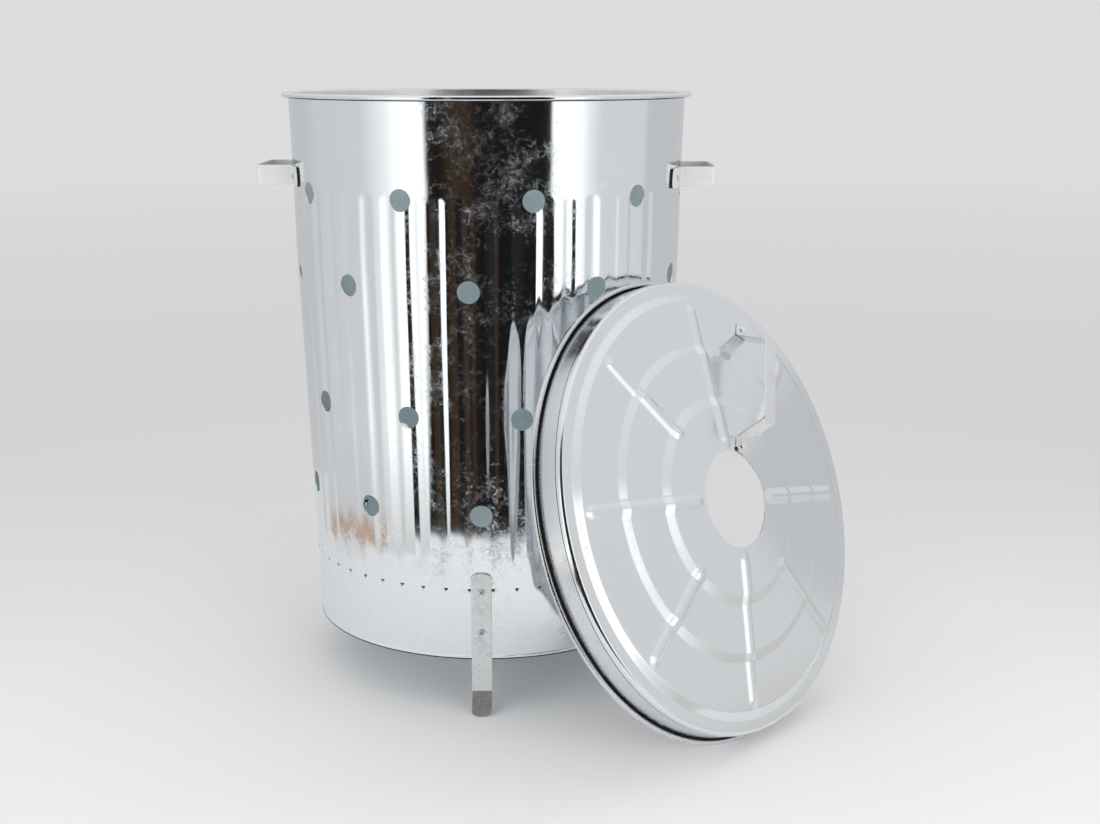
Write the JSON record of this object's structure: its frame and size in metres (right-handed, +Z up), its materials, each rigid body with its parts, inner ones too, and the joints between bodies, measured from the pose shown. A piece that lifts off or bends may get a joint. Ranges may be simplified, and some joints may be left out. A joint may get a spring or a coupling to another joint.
{
  "type": "compost bin",
  "caption": "Tapered round metal compost bin with fluted vented walls, strap legs and side handles, and a stepped ribbed lid with a centre hole leaning against it.",
  "frame": {"origin": "middle of the footprint of the bin and its leaning lid, on the floor", "axes": "+Z is up, -Y is the picture's front, +X is to its right; the bin's axis is vertical through (-0.078, 0.090)"},
  "size_m": [0.6782, 0.649, 0.6719],
  "materials": {
    "zinc_sheet": "galvanised sheet, faint spangle, fairly glossy",
    "zinc_strap": "galvanised flat strap, duller than the sheet",
    "zinc_rivet": "galvanised rivet, satin"
  },
  "bodies": {
    "bin": {"body_shell": "zinc_sheet", "base_plate": "zinc_sheet", "leg_front": "zinc_strap", "leg_right": "zinc_strap", "leg_left": "zinc_strap", "leg_front_rivet_upper": "zinc_rivet", "leg_front_rivet_lower": "zinc_rivet", "leg_right_rivet_upper": "zinc_rivet", "leg_right_rivet_lower": "zinc_rivet", "leg_left_rivet_upper": "zinc_rivet", "leg_left_rivet_lower": "zinc_rivet", "side_handle_left": "zinc_strap", "side_handle_right": "zinc_strap", "handle_left_rivet_front": "zinc_rivet", "handle_left_rivet_back": "zinc_rivet", "handle_right_rivet_front": "zinc_rivet", "handle_right_rivet_back": "zinc_rivet"},
    "lid": {"lid_top": "zinc_sheet", "lid_band": "zinc_sheet", "lid_handle": "zinc_strap", "lid_rivet_outer": "zinc_rivet", "lid_rivet_inner": "zinc_rivet"}
  },
  "joints": [
    {"name": "lid_lift_off", "type": "slide", "parent": "bin", "child": "lid", "axis": [0.5267, -0.4718, 0.7071], "range_m": [0, 0.65]}
  ]
}
